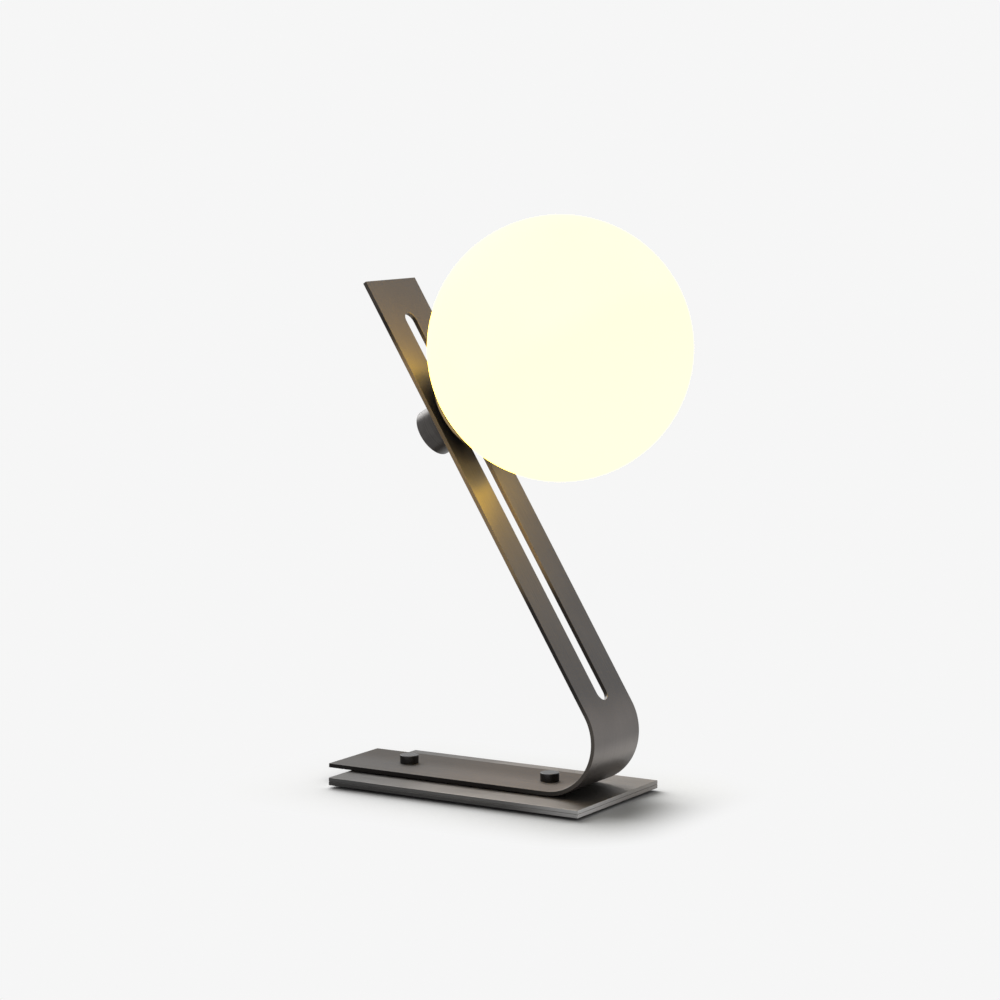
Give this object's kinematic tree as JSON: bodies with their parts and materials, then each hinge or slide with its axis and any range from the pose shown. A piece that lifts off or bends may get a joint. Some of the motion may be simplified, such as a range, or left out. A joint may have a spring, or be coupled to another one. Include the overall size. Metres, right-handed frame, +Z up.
{
  "type": "globe table lamp",
  "caption": "Table lamp: an opal glass globe clamped on a slotted strip that is bent back over a flat base, so the globe slides up and down the lean.",
  "frame": {"origin": "centre of the base's resting face, on the table", "axes": "+X along the base towards the strip's bend, +Y to the back, +Z up"},
  "size_m": [0.2171, 0.15, 0.3332],
  "materials": {
    "strip_steel": "satin gunmetal, brushed along its length",
    "base_steel": "satin gunmetal, brushed along its length",
    "knob_metal": "turned, dark gunmetal satin",
    "screw_black": "glossy black",
    "plain_steel": "zinc plated",
    "cup_metal": "satin black",
    "pad_rubber": "matt",
    "gasket_silicone": "milky silicone",
    "washer_fibre": "black fibre",
    "bush_nylon": "black nylon",
    "holder_plastic": "moulded black",
    "contact_brass": "stamped",
    "cap_nickel": "nickel plated",
    "cap_insulator": "black glass",
    "bulb_glass": "opal, lit",
    "led_board": "white lacquered board",
    "globe_opal": "satin opal, lit"
  },
  "bodies": {
    "stand": {"base_pad": "pad_rubber", "base_plate_lower": "base_steel", "base_plate_upper": "base_steel", "base_screws": "plain_steel", "leg_spacers": "washer_fibre", "bent_strip": "strip_steel", "thumb_screw_left": "screw_black", "thumb_screw_right": "screw_black"},
    "carriage": {"front_friction_washer": "washer_fibre", "rear_friction_washer": "washer_fibre"},
    "head": {"hollow_nipple": "plain_steel", "holder_cup": "cup_metal", "holder_lock_nut": "plain_steel", "lampholder_cap": "holder_plastic", "lampholder_body": "holder_plastic", "lampholder_shell": "contact_brass", "lampholder_contact": "contact_brass", "cord_bush": "bush_nylon", "globe_gasket": "gasket_silicone"},
    "globe": {"globe_glass": "globe_opal"},
    "bulb": {"bulb_contact": "cap_nickel", "bulb_insulator": "cap_insulator", "bulb_cap": "cap_nickel", "bulb_envelope": "bulb_glass", "bulb_led_disc": "led_board"},
    "knob_carrier": {"knob_washer": "plain_steel"},
    "knob": {"clamp_knob": "knob_metal", "knob_insert": "contact_brass"}
  },
  "joints": [
    {"name": "head_slide", "type": "slide", "parent": "stand", "child": "carriage", "axis": [-0.5255, 0, 0.8508], "range_m": [-0.172, 0.062]},
    {"name": "head_swivel", "type": "hinge", "parent": "carriage", "child": "head", "pos_m": [-0.02196, 0, 0.21711], "axis": [0.8508, 0, 0.5255], "range_deg": [-170, 170]},
    {"name": "globe_lift", "type": "slide", "parent": "head", "child": "globe", "axis": [0.8508, 0, 0.5255], "range_m": [0, 0.105]},
    {"name": "bulb_lift", "type": "slide", "parent": "head", "child": "bulb", "axis": [0.8508, 0, 0.5255], "range_m": [0, 0.025]},
    {"name": "knob_back_off", "type": "slide", "parent": "head", "child": "knob_carrier", "axis": [-0.8508, 0, -0.5255], "range_m": [0, 0.002]},
    {"name": "knob_turn", "type": "hinge", "parent": "knob_carrier", "child": "knob", "pos_m": [-0.03302, 0, 0.21028], "axis": [-0.8508, 0, -0.5255], "range_deg": [0, 721]}
  ],
  "couplings": [
    {"joint": "knob_turn", "follows": "knob_back_off", "rad_per_m": 6283.2}
  ]
}
